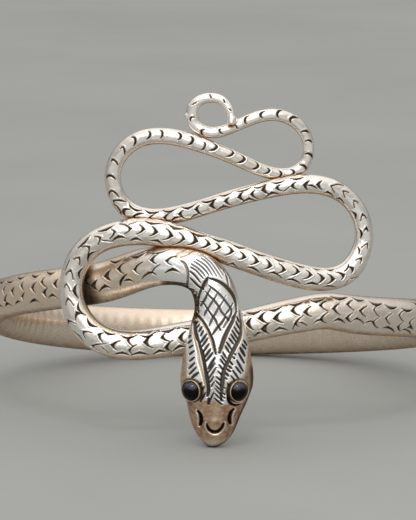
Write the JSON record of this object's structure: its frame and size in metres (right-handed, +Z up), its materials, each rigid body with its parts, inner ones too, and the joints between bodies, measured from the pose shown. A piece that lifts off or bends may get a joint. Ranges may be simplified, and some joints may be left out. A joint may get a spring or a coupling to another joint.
{
  "type": "snake bracelet",
  "caption": "Silver bangle in the form of a snake: a carved head hangs in front, the body rounds the wrist and the tail lies in flat serpentine folds above the head.",
  "frame": {"origin": "middle of the overall box, on the surface that the bangle rests on", "axes": "+Z up from that surface, -Y to the front where the head and the folds are, +X to the right as seen from the front"},
  "size_m": [0.0705, 0.0698, 0.0493],
  "materials": {
    "silver": "satin silver, bright on the ridges and dark with oxide in the stamped marks",
    "eye_stone": "polished black"
  },
  "bodies": {
    "root": {"snake": "silver", "eye_left": "eye_stone", "eye_right": "eye_stone"}
  },
  "joints": []
}
